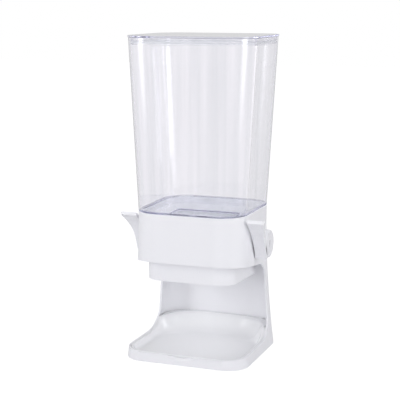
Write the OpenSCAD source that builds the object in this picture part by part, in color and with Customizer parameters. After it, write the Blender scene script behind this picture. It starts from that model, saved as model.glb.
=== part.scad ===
// Countertop dry-food dispenser: a clear tapered canister on a one-piece stand, with two
// side levers that open a rotary gate above a lift-out catch tray.
// +Z is up, the front faces -Y, and the origin is the middle of the footprint on the table.

/* [Overall] */
// Height of the top of the lid above the table
total_h = 400; // [380:1:430]
// Height of the collar's rim, where the canister sits
rim_z = 184.7; // [180:0.1:195]

/* [Stand] */
// Width of the collar at its rim
collar_w = 140.4; // [138:0.1:146]
// Front of the collar at its rim, measured forward from the origin
collar_front = 66.3; // [66:0.1:69]
// Back of the collar and column, measured backward from the origin
collar_back = 73.3; // [72:0.1:76]
// Corner radius of the collar in plan
collar_r = 33; // [28:0.5:36]
// Height of the collar at its front
collar_h = 59.5; // [56:0.1:64]
// Forward lean of the collar's front face over its height
collar_lean = 2; // [0:0.1:3]
// Slope of the collar's bottom edge, falling toward the back
collar_slope = 7.5; // [5:0.1:9]
// Wall of the stand
wall = 2.4; // [2:0.1:3]
// Front edge of the column's side walls, measured backward from the origin
column_front = 38; // [36:0.5:40]
// Radius under the collar where its edge turns into the column
upper_fillet = 20; // [16:0.5:24]
// Depth of the curve where the column's edge runs out into the base
lower_fillet_d = 36; // [30:0.5:36]
// Height of the curve where the column's edge runs out into the base
lower_fillet_h = 26; // [20:0.5:30]

/* [Base] */
// Width of the base at the table
base_w = 159; // [157:0.5:166]
// Front of the base, measured forward from the origin
base_front = 78; // [78:0.5:84]
// Back of the base, measured backward from the origin
base_back = 74.5; // [74:0.5:78]
// Height of the base's top ledge
base_h = 13.8; // [13:0.1:16]
// Corner radius of the base in plan
base_r = 27; // [24:0.5:30]
// Height over which the column flares out to the base
flare_h = 160; // [140:1:170]
// Thickness of the base's floor
floor_t = 1.8; // [1.5:0.1:2.2]

/* [Feet] */
// Radius of a foot
foot_r = 8; // [6:0.5:9]
// Thickness of a foot
foot_t = 2.8; // [2.4:0.1:3]
// How far a foot stands out below the base's edge
foot_drop = 0.8; // [0.5:0.1:1]
// Chamfer round a foot
foot_edge = 0.6; // [0.4:0.1:1]
// Sideways distance of the feet from the middle
foot_x = 56; // [50:1:60]
// Distance of the front and back feet from the middle
foot_y = 50; // [44:1:54]

/* [Catch tray] */
// Width of the base left outside the tray's rim recess, each side
ledge_w = 4.2; // [3.5:0.1:4.6]
// Gap between the tray's rim and the base and column round it
tray_gap = 1.1; // [0.8:0.1:1.4]
// Thickness of the tray's rim and walls
tray_t = 1.6; // [1.2:0.1:1.8]
// Height of the tray's raised back lip above the base's ledge
tray_lip_h = 15.2; // [12:0.1:18]
// Radius of the sweep from the tray's floor up to its back lip
tray_sweep = 26; // [24:0.5:30]
// Width of the finger scoop under the tray's front rim
scoop_w = 38; // [30:1:46]
// Depth of the finger scoop under the tray's front rim
scoop_h = 5.4; // [4:0.1:6]

/* [Canister] */
// Width of the canister at its top
canister_w = 164.6; // [160:0.1:170]
// Front of the canister at its top, measured forward from the origin
canister_front = 66.3; // [66:0.1:72]
// Back of the canister at its top, measured backward from the origin
canister_back = 77.3; // [76:0.1:80]
// Corner radius of the canister at its top
canister_r = 33.3; // [28:0.1:36]
// Wall of the canister
canister_t = 2.2; // [1.8:0.1:2.6]
// Length of the neck that plugs into the collar
neck_h = 10; // [8:0.5:12]

/* [Lid] */
// Thickness of the lid's edge
lid_t = 2.5; // [2:0.1:3.5]
// How far the lid stands out past the canister
lid_over = 0.7; // [0.5:0.1:1.5]
// Depth of the lid's plug inside the canister
plug_h = 8.5; // [8:0.1:12]
// Wall of the lid's plug
plug_t = 2.2; // [2:0.1:2.6]
// Height of the lid's seal ring
seal_h = 2; // [1.5:0.1:2.5]

/* [Axle and levers] */
// Depth of the axle's centre below the rim
axle_drop = 41.2; // [40:0.1:43]
// Distance of the axle behind the origin
axle_y = 5.5; // [4:0.1:7]
// Radius of the axle
axle_r = 4.5; // [4:0.1:5]
// Radius of a lever's hub
hub_r = 17.5; // [16:0.1:19]
// Length of a lever's hub along the axle
hub_l = 14.9; // [13:0.1:17]
// Radius of the wing's concave front face
wing_r = 92.5; // [85:0.5:100]
// Thickness of the wing
wing_t = 4.5; // [3.5:0.1:5]
// Height of the wing's tip above the axle
wing_h = 37.5; // [32:0.5:39]
// How much wider the wing's tip is than the hub
wing_flare = 7.8; // [5:0.1:9]
// Height above the axle at which the wing starts to flare
wing_plain = 7; // [4:0.5:10]
// Chamfer round the outer face of the hub
hub_edge = 1.6; // [1:0.1:2.4]
// Length of the axle's keyed tongue
tongue_l = 3.4; // [3:0.1:4]
// Thickness of the axle's keyed tongue
tongue_t = 1.6; // [1.4:0.1:2]
// Gap between the collar's bearing pad and the lever's hub
hub_gap = 1.6; // [1.4:0.1:2.2]

/* [Gate and housing] */
// Outer radius of the gate
gate_r = 32; // [30:0.5:33]
// Thickness of the gate's shell
gate_t = 2.2; // [1.8:0.1:2.6]
// Half angle of the housing's lower mouth
mouth_angle = 40; // [34:1:42]
// How far the gate laps past the lower mouth, as an angle
gate_lap = 6; // [4:1:8]
// Gap between a return spring's coil and the housing's cheek
spring_gap = 4.3; // [3:0.1:6]
// Wall of the housing
housing_t = 2.5; // [2:0.1:2.8]
// Height of the housing's upper mouth above the axle
mouth_h = 23.5; // [22:0.1:24]
// Depth of the socket that takes the canister's spout
socket_h = 6; // [5:0.1:7]
// Thickness of the spout seal
spout_seal_t = 1.5; // [1.2:0.1:2]
// Wall of the canister's spout
spout_t = 1.8; // [1.6:0.1:2.2]
// Reach of the agitator's fingers from the axle
finger_reach = 24; // [20:0.5:24]
// Distance between the agitator's fingers along the axle
finger_pitch = 14; // [12:0.5:16]
// Width of an agitator finger
finger_w = 9; // [7:0.5:11]
// Thickness of an agitator finger
finger_t = 2; // [1.6:0.1:2.6]

/* [Chute] */
// Room for the screws between the housing's cheek and the chute's wall
screw_room = 9.1; // [9:0.1:10]
// Front of the chute, measured forward from the origin
chute_front = 58.2; // [56:0.1:60]
// Back of the chute, measured backward from the origin
chute_back = 46.5; // [45:0.1:50]
// Radius of the chute's front corners
chute_r = 23; // [18:0.5:26]
// Depth of the chute's front below the collar's deck
chute_drop = 26.2; // [22:0.1:30]
// Slope of the chute's bottom edge, falling toward the back
chute_slope = 3.1; // [0:0.1:5]
// Wall of the chute
chute_t = 2.2; // [1.8:0.1:2.4]

/* [Fastening] */
// Radius of a housing screw's shank
screw_r = 1.7; // [1.5:0.1:2]
// Radius of a housing screw's head
screw_head_r = 3.2; // [2.8:0.1:3.4]
// Radius of a cross pin
pin_r = 1.25; // [1:0.05:1.5]
// Length of a cross pin
pin_l = 14; // [13:0.5:15]

/* [Springs] */
// Mean radius of a return spring's coil
spring_r = 7.2; // [7:0.1:7.6]
// Radius of a return spring's wire
spring_wire = 0.7; // [0.5:0.05:0.8]
// Turns in a return spring
spring_turns = 4; // [3:1:4]

/* [Hidden] */

$fn = 64;
corner_steps = 8;         // facets in each rounded corner of a lofted wall
eps = 0.5;                // how far a cutter runs past what it cuts
flare_power = 1.7;        // how quickly the column's flare grows toward the table
// Heights of the column's rings, closer together where the flare curves most
flare_levels = [for (k = [0.15, 0.25, 0.375, 0.56, 0.7, 0.825, 0.906, 1]) k * flare_h];
big = 300;                // longer than anything it cuts through

// Clearances
run_gap = 0.05;           // radial gap of a turning or sliding pin
fit_gap = 0.02;           // radial gap of a fixed pin or screw
seat_gap = 0.2;           // gap between a lifted part and its seat
slip_gap = 0.4;           // gap round a part that is lifted out
side_gap = 0.4;           // gap beside the gate
bore_gap = 1;             // gap between the gate's shell and the housing's bore
tray_travel = 15;         // height the tray is lifted to clear the base's front wall

// Places
axle_z = rim_z - axle_drop;
canister_top = total_h - lid_t;
deck_t = wall + 0.1;
deck_rise = 1.3;          // how far the deck lies above the collar's front edge
deck_bottom = rim_z - collar_h + deck_rise;
deck_top = deck_bottom + deck_t;
base_bottom = foot_drop;
floor_bottom = foot_t;
floor_top = floor_bottom + floor_t;
rim_seat = base_h - tray_t + 0.1;
tray_bottom = floor_top + seat_gap;
tray_top = base_h + tray_lip_h;
tray_w = base_w - 2 * (ledge_w + tray_gap);
tray_back = back_at(tray_top + tray_travel) - wall - tray_gap;

// Shared bearing places along the axle
pad_x = collar_w / 2 + 0.5;
pad_l = wall + 3;
bush_r = axle_r + 2.5;
bush_flange_r = bush_r + 3;
bush_flange_t = 1;
hub_x = pad_x + hub_gap;
hub_end = hub_x + hub_l;
axle_end = hub_end - tongue_l - 0.8;
tongue_w = 2 * axle_r - 0.2;
bush_nose = 0.7;          // how far a bush stands out inside the pad
clip_t = 0.9;
clip_x = pad_x - pad_l - bush_nose - 0.3 - clip_t;
groove_r = axle_r - 0.8;
collar_ring_l = 4.2;
collar_ring_x = clip_x - 1.6 - collar_ring_l;
spring_pitch = 2 * spring_wire + 0.2;
spring_x = collar_ring_x - 1.4 - spring_turns * spring_pitch;
lever_pin_x = hub_x + 5.6;

// Housing
housing_hw = spring_x - spring_gap - housing_t;
bore_r = gate_r + bore_gap;
mouth_hw = sqrt(bore_r * bore_r - mouth_h * mouth_h);
housing_r = bore_r + housing_t;
housing_w = housing_hw + housing_t;
flange_t = 2.5;
flange_hw = housing_w + screw_room + 0.9;
flange_y = housing_r + 2;
socket_wall = 2.2;
socket_hw = housing_hw + spout_t;
socket_hy = mouth_hw + spout_t;
socket_floor = axle_z + mouth_h;
socket_top = socket_floor + socket_h;
screw_x = housing_w + screw_room / 2;
chute_w = 2 * (housing_w + screw_room + chute_t);
screw_y = gate_r - 6.5;
boss_r = 4;
boss_h = 8;
tab_t = 3.2;
screw_l = tab_t + deck_t + flange_t + boss_h - 1;
gate_hw = housing_hw - side_gap;
plate_t = 1.4;
stub_l = 12;
stub_r = axle_r + 3.5;
sleeve_l = 2 * (gate_hw - stub_l) - 1;

// Spout of the canister
spout_hw = socket_hw - slip_gap;
spout_hy = socket_hy - slip_gap;
spout_bottom = socket_floor + spout_seal_t + seat_gap;

// Share of the full flare at height z
function flare(z) = z >= flare_h ? 0 : pow(1 - z / flare_h, flare_power);
// Half width, front and back of the stand's outside at height z
function side_at(z) = collar_w / 2 + (base_w - collar_w) / 2 * flare(z);
function back_at(z) = collar_back + (base_back - collar_back) * flare(z);
function lean_at(z) = collar_front + collar_lean * (rim_z - z) / collar_h;
function front_at(z) = z <= base_h ? base_front : lean_at(z);
function radius_at(z) = collar_r + (base_r - collar_r) * flare(z);
// Share of the way from the canister's foot to its top
function up(z) = (z - rim_z) / (canister_top - rim_z);
function mix(a, b, t) = a + (b - a) * t;
// Half width, front, back and corner radius of the canister's outside at height z
function can_side(z) = mix(collar_w, canister_w, up(z)) / 2;
function can_front(z) = mix(collar_front, canister_front, up(z));
function can_back(z) = mix(collar_back, canister_back, up(z));
function can_radius(z) = mix(collar_r, canister_r, up(z));
// Height of the curve where the column's edge runs out into the base, at distance y back
function fillet_z(y) = let (t = (y - column_front + lower_fillet_d) / lower_fillet_d)
    base_h + lower_fillet_h * (1 - sqrt(max(0, 1 - pow(max(0, t), 2))));

// One ring of a loft: a rounded rectangle at height z, anticlockwise seen from above
function ring(z, hw, front, back, r) = [for (q = [0:3], i = [0:corner_steps])
    let (a = 90 * (q + i / corner_steps),
        cx = (q == 0 || q == 3) ? hw - r : r - hw,
        cy = q < 2 ? back - r : r - front)
    [cx + r * cos(a), cy + r * sin(a), z]];
function stand_ring(z, inset) = ring(z, side_at(z) - inset, front_at(z) - inset,
    back_at(z) - inset, radius_at(z) - inset);
function can_ring(z, inset) = ring(z, can_side(z) - inset, can_front(z) - inset,
    can_back(z) - inset, can_radius(z) - inset);
function neck_ring(z, inset) = stand_ring(z, wall + slip_gap + inset);
function spout_ring(z, inset) = ring(z, spout_hw - inset, spout_hy - inset - axle_y,
    spout_hy - inset + axle_y, 3);

// Solid skinned through rings that all have the same number of points. A looped one goes
// up its outside and down its inside, and joins its last ring to its first
module loft(rings, looped = false) {
    n = len(rings[0]);
    count = len(rings);
    sides = [for (k = [0:count - (looped ? 1 : 2)], i = [0:n - 1])
        let (j = (i + 1) % n, next = ((k + 1) % count) * n)
        each [[k * n + i, next + i, next + j], [k * n + i, next + j, k * n + j]]];
    ends = looped ? [] : [[for (i = [0:n - 1]) i], [for (i = [n - 1:-1:0]) (count - 1) * n + i]];
    polyhedron([for (p = rings) each p], concat(ends, sides), 10);
}

// Rounded rectangle in plan, with true arcs
module plan(hw, front, back, r_front, r_back = undef) {
    rb = r_back == undef ? r_front : r_back;
    for (side = [-1, 1]) {
        translate([side * (hw - r_front), r_front - front]) circle(r_front);
        translate([side * (hw - rb), back - rb]) circle(rb);
    }
    translate([-hw, r_front - front]) square([2 * hw, front + back - r_front - rb]);
    translate([r_front - hw, -front]) square([2 * (hw - r_front), 2 * r_front]);
    translate([rb - hw, back - 2 * rb]) square([2 * (hw - rb), 2 * rb]);
}

// Extrudes an outline drawn in the Y-Z plane along X, between x0 and x1
module along_x(x0, x1) {
    translate([x0, 0, 0]) rotate([90, 0, 90]) linear_extrude(x1 - x0) children();
}

// Cylinder along X round the axle's line, between x0 and x1
module turn_x(r, x0, x1) {
    translate([x0, axle_y, axle_z]) rotate([0, 90, 0]) cylinder(r = r, h = x1 - x0);
}

// Wedge in the Y-Z plane at the axle, from angle a0 to a1 measured from straight down toward the back
module wedge(a0, a1, reach) {
    mid = (a0 + a1) / 2;
    translate([axle_y, axle_z]) polygon(concat([[0, 0]],
        [for (a = [a0, mid, a1]) let (far = 2 * reach) [far * sin(a), -far * cos(a)]]));
}

// Places its children on both sides of the mirror plane
module both_sides() {
    children();
    mirror([1, 0, 0]) children();
}

// Places its children at the four housing screws
module screw_places() {
    for (sx = [-1, 1], sy = [-1, 1])
        translate([sx * screw_x, axle_y + sy * screw_y, 0]) children();
}

// Open space for the bowl between the base and the collar, seen from the side
module bowl_outline() {
    y0 = column_front - lower_fillet_d;
    drop = tan(collar_slope);
    edge_front = rim_z - collar_h;
    front_y = -collar_front - collar_lean;
    corner_y = column_front - upper_fillet;
    corner_z = edge_front - drop * (corner_y - front_y);
    polygon(concat([[-big, base_h]],
        [for (i = [0:10]) let (y = y0 + lower_fillet_d * sin(9 * i)) [y, fillet_z(y)]],
        [for (i = [0:8]) let (a = 11.25 * i)
            [corner_y + upper_fillet * cos(a), corner_z - upper_fillet * (1 - sin(a))]],
        [[-big, edge_front + drop * (big + front_y)]]));
}

// Outline of the well that the tray's dish drops into
module well_plan(gap) {
    hw = base_w / 2 - ledge_w - tray_t - 0.8 - gap;
    plan(hw, base_front - wall - gap, base_back - wall - 1 - gap, base_r - 4 - gap);
}

// Bearing pad on the inside and outside of the collar's side wall
module bearing_pad() {
    turn_x(bush_flange_r + 0.5, pad_x - pad_l, pad_x);
}

module stand() color("white") difference() {
    union() {
        difference() {
            loft([for (z = concat([base_bottom, base_h, base_h + 0.01], flare_levels, [rim_z]))
                stand_ring(z, 0)]);
            loft([for (z = concat([base_h - 0.02], flare_levels, [rim_z + eps]))
                ring(z, side_at(z) - wall, lean_at(z) - wall, back_at(z) - wall, radius_at(z) - wall)]);
            along_x(-big / 2, big / 2) bowl_outline();
        }
        intersection() {
            loft([for (z = [deck_bottom - 1, flare_h]) stand_ring(z, 0.2)]);
            translate([-big / 2, -big / 2, deck_bottom]) cube([big, big, deck_t]);
        }
        both_sides() bearing_pad();
    }
    // Recess for the feet, well and rim recess for the tray
    translate([0, 0, base_bottom - eps]) linear_extrude(floor_bottom - base_bottom + eps)
        plan(base_w / 2 - wall, base_front - wall, base_back - wall, base_r - wall);
    translate([0, 0, floor_top]) linear_extrude(base_h - floor_top) well_plan(0);
    translate([0, 0, rim_seat]) linear_extrude(base_h - rim_seat + 0.01)
        plan(base_w / 2 - ledge_w, base_front + eps, base_back - wall - 1, base_r);
    // Finger scoop in the front wall
    scoop_r = (pow(scoop_w / 2, 2) + scoop_h * scoop_h) / (2 * scoop_h);
    translate([0, wall - base_front + eps, rim_seat - scoop_h + scoop_r]) rotate([90, 0, 0])
        cylinder(r = scoop_r, h = wall + 2 * eps, $fn = 96);
    // Bores for the bushes, opening for the housing, screw holes
    turn_x(bush_r + fit_gap, -big / 2, big / 2);
    translate([-housing_w - slip_gap, axle_y - housing_r - slip_gap, deck_bottom - eps])
        cube([2 * (housing_w + slip_gap), 2 * (housing_r + slip_gap), deck_t + 2 * eps]);
    screw_places() translate([0, 0, deck_bottom - eps])
        cylinder(r = screw_r + 0.3, h = deck_t + 2 * eps);
}

module feet() color("dimgray")
    for (sx = [-1, 1], sy = [-1, 1]) translate([sx * foot_x, sy * foot_y, 0]) {
        translate([0, 0, foot_edge]) cylinder(r = foot_r, h = foot_t - foot_edge);
        cylinder(r1 = foot_r - foot_edge, r2 = foot_r, h = foot_edge);
    }

// Housing: two cheeks and two curved walls round the gate, a flange on the deck and a socket on top
module gate_housing() color("whitesmoke") difference() {
    low = axle_z - bore_r * cos(mouth_angle);
    union() {
        intersection() {
            turn_x(housing_r, -housing_w, housing_w);
            translate([-housing_w, axle_y - housing_r, low])
                cube([2 * housing_w, 2 * housing_r, socket_floor - low]);
        }
        translate([-flange_hw, axle_y - flange_y, deck_top]) cube([2 * flange_hw, 2 * flange_y, flange_t]);
        translate([-housing_w, axle_y - housing_r, deck_top])
            cube([2 * housing_w, 2 * housing_r, axle_z - deck_top]);
        translate([-socket_hw - socket_wall, axle_y - socket_hy - socket_wall, socket_floor - 3])
            cube([2 * (socket_hw + socket_wall), 2 * (socket_hy + socket_wall), socket_h + 3]);
        screw_places() translate([0, 0, deck_top]) cylinder(r = boss_r, h = flange_t + boss_h);
    }
    turn_x(bore_r, -housing_hw, housing_hw);
    translate([-housing_hw, axle_y - mouth_hw, axle_z]) cube([2 * housing_hw, 2 * mouth_hw, big]);
    translate([-socket_hw, axle_y - socket_hy, socket_floor]) cube([2 * socket_hw, 2 * socket_hy, big]);
    turn_x(axle_r + 0.4, -big / 2, big / 2);
    screw_places() translate([0, 0, deck_top - eps]) cylinder(r = screw_r + fit_gap, h = flange_t + boss_h);
}

module housing_screws() color("silver") screw_places() {
    translate([0, 0, deck_bottom - tab_t]) cylinder(r = screw_r, h = screw_l);
    difference() {
        translate([0, 0, deck_bottom - tab_t - 2]) cylinder(r = screw_head_r, h = 2);
        for (turn = [0, 90]) rotate([0, 0, turn])
            translate([-2, -0.4, deck_bottom - tab_t - 2 - eps]) cube([4, 0.8, 1 + eps]);
    }
}

// Soft ring between the housing's socket and the canister's spout
module spout_seal() color("gainsboro") translate([0, axle_y, socket_floor]) linear_extrude(spout_seal_t)
    difference() {
        square([2 * (socket_hw - 0.1), 2 * (socket_hy - 0.1)], center = true);
        square([2 * housing_hw, 2 * mouth_hw], center = true);
    }

module chute() color("white") {
    bottom = deck_bottom - chute_drop;
    fall = tan(chute_slope) * (chute_front + chute_back);
    difference() {
        intersection() {
            translate([0, 0, bottom - fall - 1]) linear_extrude(deck_bottom - bottom + fall + 1)
                plan(chute_w / 2, chute_front, chute_back, chute_r, 8);
            along_x(-chute_w / 2, chute_w / 2) polygon([[-chute_front, deck_bottom],
                [-chute_front, bottom], [chute_back, bottom - fall], [chute_back, deck_bottom]]);
        }
        translate([0, 0, bottom - fall - 2]) linear_extrude(big)
            plan(chute_w / 2 - chute_t, chute_front - chute_t, chute_back - chute_t,
                chute_r - chute_t, 8 - chute_t);
    }
    // Tabs that the screws pass through
    difference() {
        tab_x = housing_w + 0.8;
        for (sx = [-1, 1], sy = [-1, 1])
            translate([sx > 0 ? tab_x : 0.1 - chute_w / 2 + chute_t / 2,
                axle_y + sy * screw_y - 4.5, deck_bottom - tab_t])
                cube([chute_w / 2 - chute_t / 2 - 0.1 - tab_x, 9, tab_t]);
        screw_places() translate([0, 0, deck_bottom - tab_t - eps])
            cylinder(r = screw_r + 0.3, h = tab_t + 2 * eps);
    }
}

module right_bush() color("ivory") difference() {
    union() {
        turn_x(bush_r, pad_x - pad_l - bush_nose, pad_x);
        turn_x(bush_flange_r, pad_x, pad_x + bush_flange_t);
    }
    turn_x(axle_r + run_gap, pad_x - big / 2, pad_x + big / 2);
}

module left_bush() mirror([1, 0, 0]) right_bush();

// Helical wire round the axle's line, starting straight below it and advancing along +X
module coil(x0, turns) {
    steps = 18;
    sides = 6;
    count = turns * steps;
    points = [for (k = [0:count], s = [0:sides - 1])
        let (a = 360 * k / steps, b = 360 * s / sides, rr = spring_r + spring_wire * cos(b))
        [x0 + spring_pitch * k / steps + spring_wire * sin(b), axle_y + rr * sin(a), axle_z - rr * cos(a)]];
    walls = [for (k = [0:count - 1], s = [0:sides - 1])
        let (a = k * sides + s, b = k * sides + (s + 1) % sides)
        each [[a, b, b + sides], [a, b + sides, a + sides]]];
    polyhedron(points, concat([[for (s = [sides - 1:-1:0]) s]], walls,
        [[for (s = [0:sides - 1]) count * sides + s]]), 10);
}

// Return spring: one leg stands on the housing's flange, the other sits in the collar ring's hole
module right_spring() color("silver") {
    foot = deck_top + flange_t + seat_gap;
    leg_z = axle_z - spring_r;
    coil(spring_x, spring_turns);
    translate([spring_x, axle_y, leg_z]) sphere(spring_wire, $fn = 24);
    translate([spring_x, axle_y, foot]) cylinder(r = spring_wire, h = leg_z - foot, $fn = 24);
    translate([spring_x + spring_turns * spring_pitch, axle_y, leg_z]) rotate([0, 90, 0])
        cylinder(r = spring_wire, h = 1.4 + 2.5, $fn = 24);
    translate([spring_x + spring_turns * spring_pitch, axle_y, leg_z]) sphere(spring_wire, $fn = 24);
}

module left_spring() mirror([1, 0, 0]) right_spring();

module axle() color("silver") difference() {
    union() {
        turn_x(axle_r, -axle_end, axle_end);
        translate([-axle_end - tongue_l, axle_y - tongue_t / 2, axle_z - tongue_w / 2])
            cube([2 * (axle_end + tongue_l), tongue_t, tongue_w]);
    }
    both_sides() difference() {
        turn_x(axle_r + 1, clip_x - 0.05, clip_x + clip_t + 0.05);
        turn_x(groove_r, clip_x - 1, clip_x + 2);
    }
    pin_places() pin_hole();
}

// Clips that hold the axle endways, with a gap to push them on
module axle_clips() color("gray") both_sides() difference() {
    turn_x(axle_r + 3.5, clip_x, clip_x + clip_t);
    turn_x(groove_r + fit_gap, clip_x - 1, clip_x + 2);
    translate([clip_x - 1, axle_y - 2.6, axle_z]) cube([3, 5.2, 2 * axle_r + 5]);
}

// Gate: a curved shell below the axle, carried by two end plates with stub hubs
module gate() color("whitesmoke") difference() {
    half = mouth_angle + gate_lap;
    union() {
        intersection() {
            difference() {
                turn_x(gate_r, -gate_hw, gate_hw);
                turn_x(gate_r - gate_t, -gate_hw - 1, gate_hw + 1);
            }
            along_x(-gate_hw, gate_hw) wedge(-half, half, gate_r);
        }
        both_sides() {
            intersection() {
                turn_x(gate_r - gate_t / 2, gate_hw - plate_t, gate_hw);
                along_x(0, gate_hw) wedge(-half, half, gate_r);
            }
            turn_x(stub_r, gate_hw - stub_l, gate_hw);
        }
    }
    turn_x(axle_r + fit_gap, -big / 2, big / 2);
    pin_places() pin_hole();
}

// Agitator: a sleeve with soft fingers that keep the food moving above the gate
module agitator() color("lightgray") difference() {
    union() {
        turn_x(stub_r, -sleeve_l / 2, sleeve_l / 2);
        for (i = [0:3]) let (tilt = i % 2 == 0 ? 20 : -20)
            translate([(i - 1.5) * finger_pitch, axle_y, axle_z]) rotate([tilt, 0, 0])
            translate([-finger_w / 2, -finger_t / 2, stub_r - 1])
            cube([finger_w, finger_t, finger_reach - stub_r + 1]);
    }
    turn_x(axle_r + fit_gap, -big / 2, big / 2);
    pin_places() pin_hole();
}

// Rings on the axle that the springs' moving legs push on
module spring_collars() color("whitesmoke") difference() {
    both_sides() difference() {
        turn_x(spring_r + 2.4, collar_ring_x, collar_ring_x + collar_ring_l);
        translate([collar_ring_x - eps, axle_y, axle_z - spring_r]) rotate([0, 90, 0])
            cylinder(r = spring_wire + 0.15, h = 3.4 + eps);
    }
    turn_x(axle_r + fit_gap, -big / 2, big / 2);
    pin_places() pin_hole();
}

// Places its children at each cross pin, on the axle's line
module pin_places() {
    translate([0, axle_y, axle_z]) {
        rotate([90, 0, 0]) children();
        for (x = [gate_hw - stub_l / 2 - 1, collar_ring_x + collar_ring_l / 2], side = [-1, 1])
            translate([side * x, 0, 0]) rotate([90, 0, 0]) children();
        for (side = [-1, 1]) translate([side * lever_pin_x, 0, 0]) children();
    }
}

module pin_hole() {
    cylinder(r = pin_r + fit_gap, h = pin_l + 0.1, center = true, $fn = 32);
}

module cross_pins() color("gray") pin_places() cylinder(r = pin_r, h = pin_l, center = true, $fn = 32);

// Outline of the wing, seen from the side: a curved band tangent to the hub, with a round tip
module wing_outline() {
    reach = wing_r + hub_r;
    tilt = 23;
    cy = axle_y - reach * cos(tilt);
    cz = axle_z - reach * sin(tilt);
    a0 = tilt - 7;
    a1 = asin((axle_z + wing_h - cz) / (wing_r + wing_t));
    mid = wing_r + wing_t / 2;
    polygon(concat(
        [for (i = [0:16]) let (a = mix(a0, a1, i / 16)) [cy + wing_r * cos(a), cz + wing_r * sin(a)]],
        [for (i = [16:-1:0]) let (a = mix(a0, a1, i / 16))
            [cy + (wing_r + wing_t) * cos(a), cz + (wing_r + wing_t) * sin(a)]]));
    translate([cy + mid * cos(a1), cz + mid * sin(a1)]) circle(wing_t / 2);
}

module right_lever() color("white") difference() {
    union() {
        turn_x(hub_r, hub_x, hub_end - hub_edge);
        translate([hub_end - hub_edge, axle_y, axle_z]) rotate([0, 90, 0])
            cylinder(r1 = hub_r, r2 = hub_r - hub_edge, h = hub_edge);
        intersection() {
            along_x(hub_x, hub_end + wing_flare) wing_outline();
            low = axle_z - hub_r;
            translate([0, big / 2, 0]) rotate([90, 0, 0]) linear_extrude(big)
                polygon(concat([[hub_x, low], [hub_end, low]],
                    [for (i = [0:8]) [hub_end + wing_flare * pow(i / 8, 1.4),
                        axle_z + mix(wing_plain, wing_h, i / 8)]],
                    [[hub_end + wing_flare, axle_z + big], [hub_x, axle_z + big]]));
        }
    }
    turn_x(axle_r + fit_gap, hub_x - eps, axle_end + 0.2);
    translate([axle_end, axle_y - tongue_t / 2 - 0.1, axle_z - tongue_w / 2 - 0.1])
        cube([tongue_l + 2, tongue_t + 0.2, tongue_w + 0.2]);
    translate([lever_pin_x, axle_y, axle_z - hub_r - eps])
        cylinder(r = pin_r + fit_gap, h = hub_r + eps + pin_l / 2 + 0.05, $fn = 32);
}

module left_lever() mirror([1, 0, 0]) right_lever();

// Canister: spout, neck that plugs into the collar, shoulder on the rim, tapered wall, sloped floor
module canister() color("lavender", 0.35) {
    neck_t = 2;
    neck_bottom = rim_z - neck_h;
    shoulder = rim_z + seat_gap;
    spout_top = socket_top + 0.6;
    loft([
        spout_ring(spout_bottom, 0),
        spout_ring(spout_top, 0),
        neck_ring(rim_z - 0.6, neck_t),
        neck_ring(neck_bottom, neck_t),
        neck_ring(neck_bottom, 0),
        neck_ring(shoulder, 0),
        can_ring(shoulder, 0),
        can_ring(canister_top, 0),
        can_ring(canister_top, canister_t),
        can_ring(shoulder + 2, canister_t),
        spout_ring(spout_top + spout_t, spout_t),
        spout_ring(spout_bottom, spout_t)
    ], looped = true);
}

// Canister's outline in plan at height z, moved inward by inset
module lid_plan(z, inset) {
    plan(can_side(z) - inset, can_front(z) - inset, can_back(z) - inset, can_radius(z) - inset);
}

module lid() color("lavender", 0.35) difference() {
    bottom = canister_top - plug_h;
    inset = canister_t + slip_gap;
    union() {
        translate([0, 0, canister_top]) linear_extrude(lid_t) lid_plan(canister_top, -lid_over);
        translate([0, 0, bottom]) linear_extrude(plug_h + 0.1) lid_plan(bottom, inset);
    }
    translate([0, 0, bottom - eps]) linear_extrude(plug_h + eps) lid_plan(bottom, inset + plug_t);
    // Groove for the seal ring
    translate([0, 0, bottom + 2]) linear_extrude(seal_h + 0.1) difference() {
        lid_plan(bottom, inset - 2);
        lid_plan(bottom, inset + 1);
    }
}

module lid_seal() color("white") translate([0, 0, canister_top - plug_h + 2]) linear_extrude(seal_h)
    difference() {
        lid_plan(canister_top - plug_h, canister_t + seat_gap);
        lid_plan(canister_top - plug_h, canister_t + slip_gap + 1);
    }

// Side outline of the tray's dish, grown outward by t
module tray_outline(t) {
    cy = tray_back - tray_t - tray_sweep;
    cz = tray_bottom + tray_t + tray_sweep;
    r = tray_sweep + t;
    polygon(concat([[-big, cz - r]],
        [for (i = [0:12]) let (a = 7.5 * i) [cy + r * sin(a), cz - r * cos(a)]],
        [[cy + r, big], [-big, big]]));
}

// Everything below the tray's top edge, which sweeps up from the base's ledge to the back lip
module tray_top_outline() {
    y0 = column_front - lower_fillet_d;
    polygon(concat([[-big, -10], [-big, base_h]],
        [for (i = [0:10]) let (y = y0 + lower_fillet_d * sin(9 * i)) [y, min(tray_top, fillet_z(y))]],
        [[big, tray_top], [big, -10]]));
}

// Tray in plan, moved inward by inset, with the given half width
module tray_plan(hw, inset) {
    plan(hw - inset, base_front - 0.1 - inset, tray_back - inset, base_r - 1 - inset);
}

// Part of the tray that hangs in the base's well
module dish_plan(inset) intersection() {
    well_plan(slip_gap + inset);
    tray_plan(tray_w / 2, inset);
}

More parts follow.
